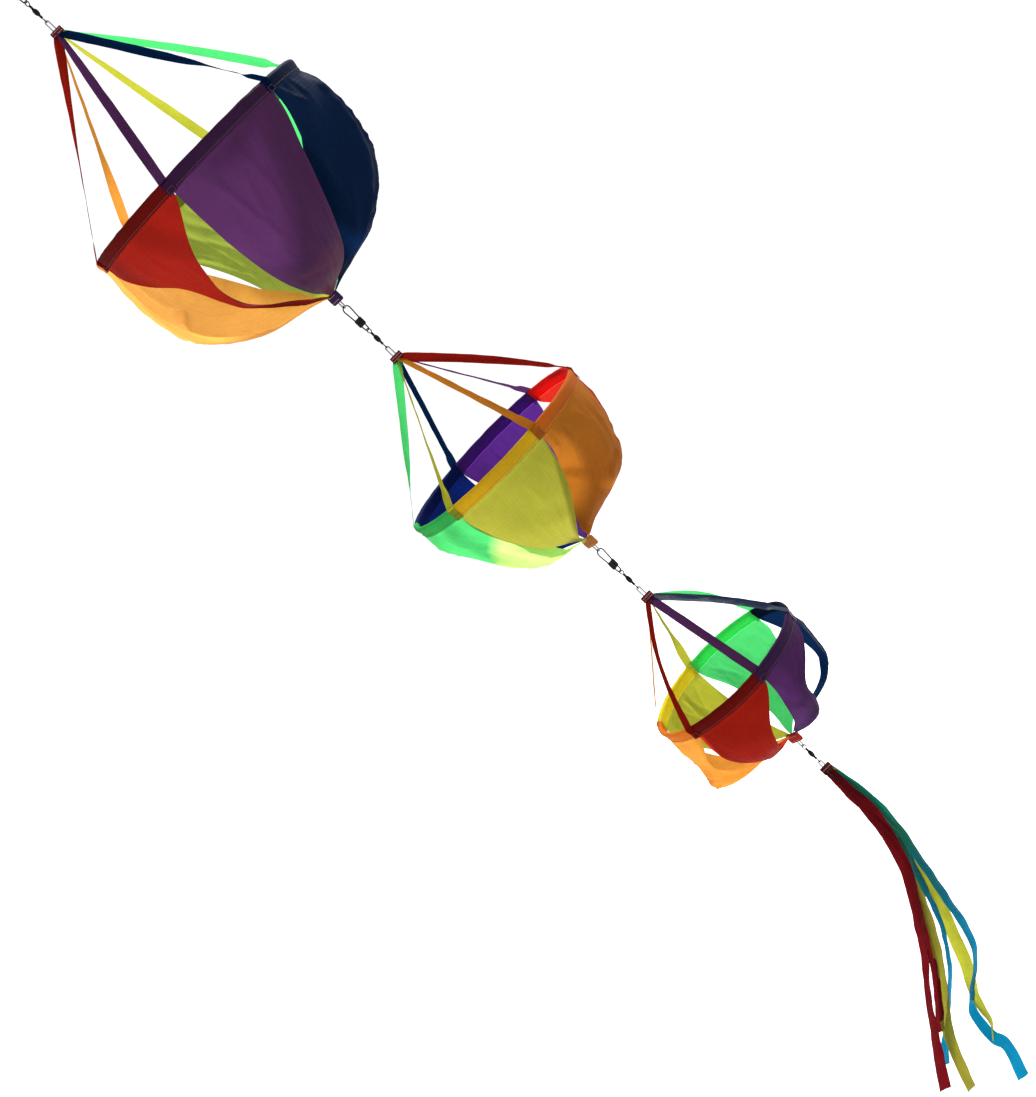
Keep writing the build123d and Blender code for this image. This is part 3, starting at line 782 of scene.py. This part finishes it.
def braid(name, points, radius, material):
    """Braided cord: a tube whose surface carries two sets of crossing strands."""
    line = Path(points, 12)
    steps, around = max(40, int(line.length / 0.00022)), 20
    rows, uvs = [], []
    side = line.direction(0.0).orthogonal().normalized()
    for i in range(steps + 1):
        share = i / steps
        along = line.direction(share)
        side = (side - along * side.dot(along)).normalized()
        other = along.cross(side)
        row, uv = [], []
        for j in range(around):
            a = math.tau * j / around
            run = share * line.length / 0.0016 * math.tau
            lay = max(math.sin(4 * a + run), math.sin(4 * a - run))
            r = radius * (0.90 + 0.12 * lay)
            row.append(line(share) + (side * math.cos(a) + other * math.sin(a)) * r)
            uv.append((a * radius, share * line.length))
        rows.append(row)
        uvs.append(uv)
    return surface(name, rows, uvs, material, closed_u=True)


def cord_loop(name, leg_z, bend_z, angle):
    """Cord loop: two legs from leg_z joined by a round bend at bend_z, in the plane at this angle."""
    across = Vector((math.cos(angle), math.sin(angle), 0)) * CORD_BEND_R
    sign = 1 if bend_z > leg_z else -1
    centre_z = bend_z - sign * CORD_BEND_R
    leg = [Vector((0, 0, leg_z)), Vector((0, 0, mix(leg_z, centre_z, 0.5)))]
    points = [across + p for p in leg]
    for i in range(9):
        turn = math.pi * i / 8
        rise = Vector((0, 0, centre_z + sign * CORD_BEND_R * math.sin(turn)))
        points.append(across * math.cos(turn) + rise)
    points += [p - across for p in reversed(leg)]
    return braid(name, points, CORD_R, CORD)


# Tail: centre lines down from the tab's top in mm (down, x, y), and the turn from the front along each,
# in degrees
RIBBONS = (
    (
        "red", 1,
        (
            (4, 0, -2), (42, -1, -4), (77, -1, -7), (138, -17, -10), (182, -41, -12),
            (236, -76, -8), (263, -101, -12), (313, -138, -16), (358, -166, -12),
        ),
        (25, 8, 45, 12),
    ),
    (
        "red", 2,
        (
            (4, 0, 1), (42, 1, 2), (100, -6, 4), (138, -13, 5), (182, -34, 4), (236, -64, 0),
            (262, -82, -3), (289, -104, -2), (312, -124, -2),
        ),
        (45, 25, 40, 35),
    ),
    (
        "yellow", 1,
        (
            (4, 0, 1), (60, 2, 7), (120, -3, 8), (160, -15, 8), (212, -41, 4), (240, -58, 2),
            (273, -82, 2), (314, -114, 2), (353, -133, 2), (388, -146, 0),
        ),
        (20, 66, 15, 30),
    ),
    (
        "yellow", 2,
        (
            (4, 1, 2), (60, 4, 7), (110, 1, 7), (151, -8, 6), (200, -17, 4), (244, -35, 2),
            (278, -48, 2), (296, -57, 6), (321, -70, 6), (352, -78, 4), (366, -90, 2),
        ),
        (20, 50, 10, 72),
    ),
    (
        "blue", 1,
        (
            (4, 0, 0), (60, 6, 4), (110, 3, 2), (156, -12, -1), (214, -33, -6), (260, -62, -6),
            (300, -93, 8), (322, -120, 8), (347, -146, 4),
        ),
        (50, 50, 52, 40),
    ),
    (
        "blue", 2,
        (
            (4, 1, 2), (60, 8, 3), (110, 7, 0), (146, 0, -3), (202, -11, -4), (252, -22, -2),
            (281, -38, -4), (305, -68, -4), (328, -83, 4), (363, -88, 2), (382, -84, 0),
            (424, -97, 0),
        ),
        (35, 45, 42, 12),
    ),
)


def make_ribbon(colour, number, points, turns):
    """One tail ribbon and its length."""
    high = Vector(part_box("tail_tab")[1]).z
    line = Path([Vector((x, y, -down)) / 1000 + Vector((0, 0, high)) for down, x, y in points], 14)
    steps, wide = 130, 8
    rows, uvs = [], []
    sight = Vector((0, 1, 0))
    seed = number * 5.1 + len(colour) * 2.3
    for i in range(steps + 1):
        share = i / steps
        middle = line(share)
        along = line.direction(share)
        side = along.cross(sight).normalized()
        lift = side.cross(along).normalized()
        knots = (mix(turns[0], turns[1], 0.7), mix(turns[1], turns[2], 0.5), turns[2])
        turn = through(turns[0], knots, turns[3], share)
        turn = math.radians(turn + 9 * wander(share * 6.0, seed))
        w = side * math.cos(turn) + lift * math.sin(turn)
        up = along.cross(w)
        half = RIBBON_W / 2 * mix(0.8, 1.0, smooth(share / 0.12))
        row, uv = [], []
        for j in range(wide + 1):
            u = 2 * j / wide - 1
            curl = 0.0013 * (u * u - 0.4) * math.sin(9 * share + seed)
            ripple = 0.0013 * wander(share * 24, u * 1.2, seed)
            ripple += 0.0003 * wander(share * 60, u * 1.4, seed + 5)
            row.append(middle + w * half * u + up * (curl + ripple))
            uv.append((RIBBON_W / 2 * u, share * line.length))
        rows.append(row)
        uvs.append(uv)
    # The first yellow ribbon is painted in shade
    dye = "yellow_in_shade" if (colour, number) == ("yellow", 1) else colour
    obj = surface(f"ribbon_{colour}_{number}", rows, uvs, RIBBON_CLOTH[dye])
    return obj, line.length


# Tabs: width, thickness, height and seams at shares of the height, then webbing in each basket
TAB_SHAPES = {
    "front": ((0.0135, 0.0054, 0.007), (0.3, 0.7)),
    "rear": ((0.016, 0.0054, 0.012), (0.25, 0.75)),
}
TAB_PAINTS = {
    "front": ("dark_red", "dark_red", "dark_red"),
    "rear": ("purple", "brown", "red"),
}

for k in range(3):
    body = f"basket_{k + 1}"
    number = k + 1
    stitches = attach(make_hem_stitches(k), body)
    for index, colour in enumerate(COLOURS):
        gore, flat, area = make_gore(colour, k, index)
        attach(gore, body)
        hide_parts(f"panel_{colour}_{number}")
        strap, length, (radial, across) = make_strap(colour, k, index)
        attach(strap, body)
        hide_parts(f"bridle_straps_{number}")
        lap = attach(lap_stitches(k, colour, radial, across), body)
    for end, (size, seams) in TAB_SHAPES.items():
        node = f"{end}_tab_{number}"
        paint = TAB_PAINTS[end][k]
        low, high = (Vector(c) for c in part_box(node))
        half = Vector(size) / 2
        middle = (low + high) / 2
        angle = math.radians(LOOP_ANGLE[end])
        tab, sewing = soft_tab(
            node + "_webbing", middle - half, middle + half, angle, TABS[paint], seams
        )
        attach(tab, body)
        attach(sewing, body)
        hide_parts(node)
    low, high = (Vector(c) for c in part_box(f"cord_loops_{number}"))
    front_top = Vector(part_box(f"front_tab_{number}")[1]).z
    rear_low = Vector(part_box(f"rear_tab_{number}")[0]).z
    loops = {
        "front": (front_top - CORD_IN_TAB, high.z - CORD_R),
        "rear": (rear_low + CORD_IN_TAB, low.z + CORD_R),
    }
    for end, (leg_z, bend_z) in loops.items():
        cord = cord_loop(f"cord_{end}_{number}", leg_z, bend_z, math.radians(LOOP_ANGLE[end]))
        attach(cord, body)
        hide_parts(f"cord_loops_{number}")
    for node, material in ((f"hoop_{number}", ROD), (f"hoop_ferrule_{number}", SLEEVE_METAL)):
        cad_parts[node].material_slots[0].material = material

for node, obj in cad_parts.items():
    if node.startswith(("snap_", "swivel_")):
        obj.material_slots[0].material = METAL

low, high = (Vector(c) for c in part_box("tail_tab"))
tab, sewing = soft_tab("tail_tab_webbing", low, high, 0.0, TABS["maroon"], (0.62,))
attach(tab, "tail")
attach(sewing, "tail")
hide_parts("tail_tab")
loop_top = Vector(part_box("tail_cord_loop")[1]).z
cord = cord_loop("cord_tail", high.z - CORD_IN_TAB, loop_top - CORD_R, 0.0)
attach(cord, "tail")
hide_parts("tail_cord_loop")
for colour, number, points, turns in RIBBONS:
    ribbon, length = make_ribbon(colour, number, points, turns)
    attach(ribbon, "tail")
    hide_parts(f"tail_ribbons_{colour}")

# Stage, lights and camera
bpy.context.scene.view_settings.view_transform = "Standard"
FLOOR_Z = -1.72
FLOOR_HALF = 9
corners = [(x * FLOOR_HALF, y * FLOOR_HALF, FLOOR_Z) for x, y in ((-1, -1), (1, -1), (1, 1), (-1, 1))]
floor_mesh = bpy.data.meshes.new("floor")
floor_mesh.from_pydata(corners, [], [(0, 1, 2, 3)])
floor = bpy.data.objects.new("floor", floor_mesh)
bpy.context.collection.objects.link(floor)
floor.data.materials.append(solid("pale_floor", (0.96, 0.96, 0.96), 0.9, grain=3.0, depth=0.0, tint=0.0))
floor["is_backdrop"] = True

world = bpy.data.worlds.new("studio")
bpy.context.scene.world = world
world.use_nodes = True
world.node_tree.nodes["Background"].inputs[0].default_value = (1.0, 1.0, 1.0, 1.0)
world.node_tree.nodes["Background"].inputs[1].default_value = 1.1


def area_light(name, place, target, size, power):
    data = bpy.data.lights.new(name, "AREA")
    data.shape = "DISK"
    data.size = size
    data.energy = power
    lamp = bpy.data.objects.new(name, data)
    lamp.location = place
    lamp.rotation_euler = (Vector(target) - Vector(place)).to_track_quat("-Z", "Y").to_euler()
    bpy.context.collection.objects.link(lamp)


area_light("back_key", (2.0, 1.7, 1.5), (0, 0, -0.7), 0.45, 230)
area_light("front_fill", (-1.8, -2.4, 0.8), (0, 0, -0.7), 1.8, 14)

camera_data = bpy.data.cameras.new("camera")
camera_data.lens = 62.93
camera_data.sensor_width = 36.0
camera_data.clip_end = 100.0
camera = bpy.data.objects.new("camera", camera_data)
forward = Vector((-0.0010, 0.98229, -0.18738)).normalized()
up = Vector((0.72622, 0.12953, 0.67515))
right = forward.cross(up).normalized()
up = right.cross(forward)
turned = Matrix((right, up, -forward)).transposed().to_4x4()
camera.matrix_world = Matrix.Translation((-0.0544, -1.9492, -0.3802)) @ turned
bpy.context.collection.objects.link(camera)
bpy.context.scene.camera = camera

size = {"cad": [list(c) for c in cad_box], "visual": [list(c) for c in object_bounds()]}
